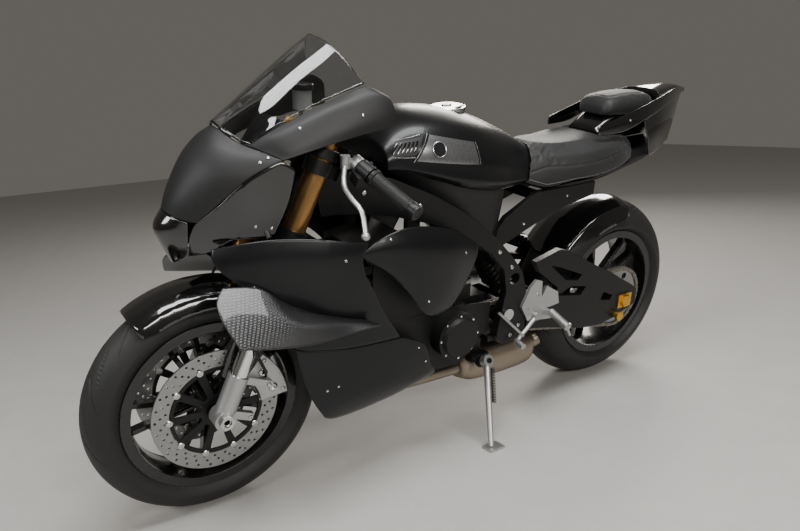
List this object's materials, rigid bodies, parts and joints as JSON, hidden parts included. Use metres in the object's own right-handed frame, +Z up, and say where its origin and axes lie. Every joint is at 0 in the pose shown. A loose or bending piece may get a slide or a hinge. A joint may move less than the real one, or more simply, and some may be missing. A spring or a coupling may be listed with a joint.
{
  "type": "sport motorcycle",
  "caption": "Faired sport motorcycle on its side stand: turning wheels, steering with forks and clip-on bars, folding side stand, tank, seat and tail.",
  "frame": {"origin": "on the floor, under the middle of the outer box of the motorcycle as it stands leaning on its side stand", "axes": "+X forward, +Y to the rider's left, +Z up; the motorcycle leans 9.1 degrees towards +Y"},
  "size_m": [2.0388, 0.6734, 1.1612],
  "materials": {
    "tyre": "matte",
    "black_wheel": "satin black",
    "disc_steel": "ground",
    "chain_steel": "oiled",
    "bright_steel": "bright",
    "cast_silver": "cast satin",
    "chrome": "polished",
    "bronze": "anodised bronze",
    "black_metal": "satin black",
    "lever_silver": "satin",
    "reservoir": "translucent grey",
    "gloss_black": "gloss",
    "matte_black": "matte",
    "satin_black": "satin metallic",
    "carbon": "gloss twill weave",
    "screen": "clear light smoke",
    "seat_cover": "matte grained",
    "titanium": "heat tinted",
    "radiator_black": "fins",
    "tail_red": "dark red lens",
    "hose": "satin"
  },
  "bodies": {
    "chassis": {"chain": "chain_steel", "rear_caliper": "black_metal", "frame": "black_metal", "engine": "black_metal", "engine_covers": "black_metal", "radiator": "radiator_black", "exhaust_headers": "titanium", "exhaust_chamber": "titanium", "swingarm": "black_metal", "swingarm_pivot": "bright_steel", "rear_axle": "bronze", "rear_hugger": "gloss_black", "rear_shock": "black_metal", "upper_cowl": "matte_black", "nose_lip": "gloss_black", "nose_sides": "gloss_black", "windscreen": "screen", "side_fairings": "satin_black", "belly_fairing": "satin_black", "winglets": "carbon", "side_scoops": "satin_black", "fuel_tank": "satin_black", "fuel_cap": "chrome", "rider_seat": "seat_cover", "tail_cowl": "gloss_black", "tail_wings": "gloss_black", "undertail": "matte_black", "tail_light": "tail_red", "pillion_pad": "seat_cover", "subframe": "black_metal", "instrument_panel": "gloss_black", "fairing_stay": "black_metal", "footrests": "cast_silver", "stand_bracket": "black_metal"},
    "steering": {"front_axle": "bright_steel", "axle_lugs": "cast_silver", "inner_tubes": "chrome", "outer_tubes": "bronze", "top_yoke": "black_metal", "lower_yoke": "black_metal", "handlebars": "black_metal", "clutch_lever": "lever_silver", "brake_lever": "lever_silver", "reservoir": "reservoir", "front_fender": "gloss_black", "front_calipers": "cast_silver", "brake_hoses": "hose"},
    "front_wheel": {"front_tyre": "tyre", "front_rim": "black_wheel", "front_discs": "disc_steel"},
    "rear_wheel": {"rear_tyre": "tyre", "rear_rim": "black_wheel", "rear_disc": "disc_steel", "rear_sprocket": "disc_steel"},
    "side_stand": {"side_stand": "cast_silver"}
  },
  "joints": [
    {"name": "steering", "type": "hinge", "parent": "chassis", "child": "steering", "pos_m": [0.46555, -0.0048, 0.79063], "axis": [-0.4064, 0.1445, 0.9022], "range_deg": [-25, 25]},
    {"name": "front_wheel_turn", "type": "hinge", "parent": "steering", "child": "front_wheel", "pos_m": [0.7195, -0.08385, 0.29698], "axis": [-0.0001, 0.9874, -0.1582], "continuous": true},
    {"name": "rear_wheel_turn", "type": "hinge", "parent": "chassis", "child": "rear_wheel", "pos_m": [-0.68549, -0.08061, 0.3177], "axis": [-0.0001, 0.9874, -0.1582], "continuous": true},
    {"name": "side_stand_fold", "type": "hinge", "parent": "chassis", "child": "side_stand", "pos_m": [-0.08552, 0.05224, 0.2238], "axis": [0.0001, 0.9386, 0.345], "range_deg": [0, 95]}
  ]
}
